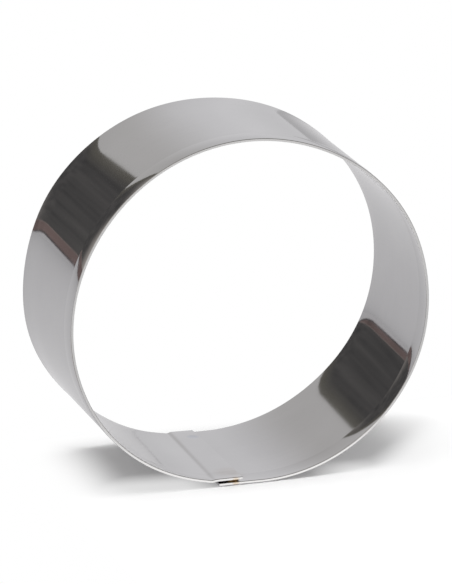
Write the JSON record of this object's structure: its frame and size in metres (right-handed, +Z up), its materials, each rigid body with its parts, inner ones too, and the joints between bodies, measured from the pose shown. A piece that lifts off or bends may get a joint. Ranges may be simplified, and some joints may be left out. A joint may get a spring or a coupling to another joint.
{
  "type": "biscuit cutter",
  "caption": "Round biscuit cutter: a ring of polished sheet steel with a lapped, spot-welded seam, a plain cutting edge and a formed rim.",
  "frame": {"origin": "middle of the bottom, on the surface that the ring stands on", "axes": "+Z up, Y along the ring's axis with the formed rim facing -Y and the cutting edge facing +Y, X across the ring"},
  "size_m": [0.082, 0.0355, 0.0779],
  "materials": {
    "polished_steel": "polished",
    "tinted_weld": "satin"
  },
  "bodies": {
    "root": {"steel_band": "polished_steel", "front_weld": "tinted_weld", "back_weld": "tinted_weld"}
  },
  "joints": []
}
